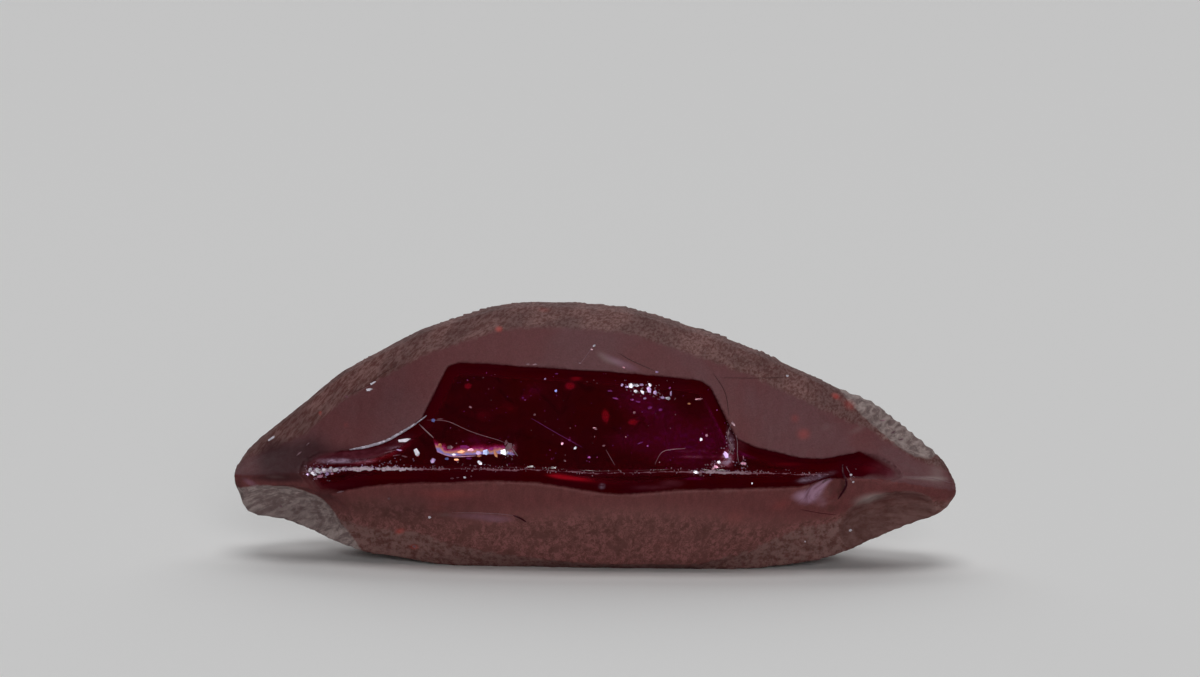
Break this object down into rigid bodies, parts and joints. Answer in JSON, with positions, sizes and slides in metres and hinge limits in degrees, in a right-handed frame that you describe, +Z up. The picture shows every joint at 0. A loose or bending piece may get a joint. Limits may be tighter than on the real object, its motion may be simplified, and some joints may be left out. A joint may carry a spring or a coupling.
{
  "type": "raw ruby crystal",
  "caption": "Boat-shaped rough ruby crystal with a frosted skin, chipped ends and a bare glassy zone along its front keel, standing on a small flat face.",
  "frame": {"origin": "centre of the underside of the stone's bounding box, on the plane of the flat face that it stands on", "axes": "+X along the stone's length, towards its thinner end; +Y towards its back; +Z up, towards its crest"},
  "size_m": [0.022, 0.0056, 0.008],
  "materials": {
    "ruby": "clear dark red inside, with a frosted greyish pink skin and a bare glassy zone"
  },
  "bodies": {
    "root": {"ruby_crystal": "ruby"}
  },
  "joints": []
}
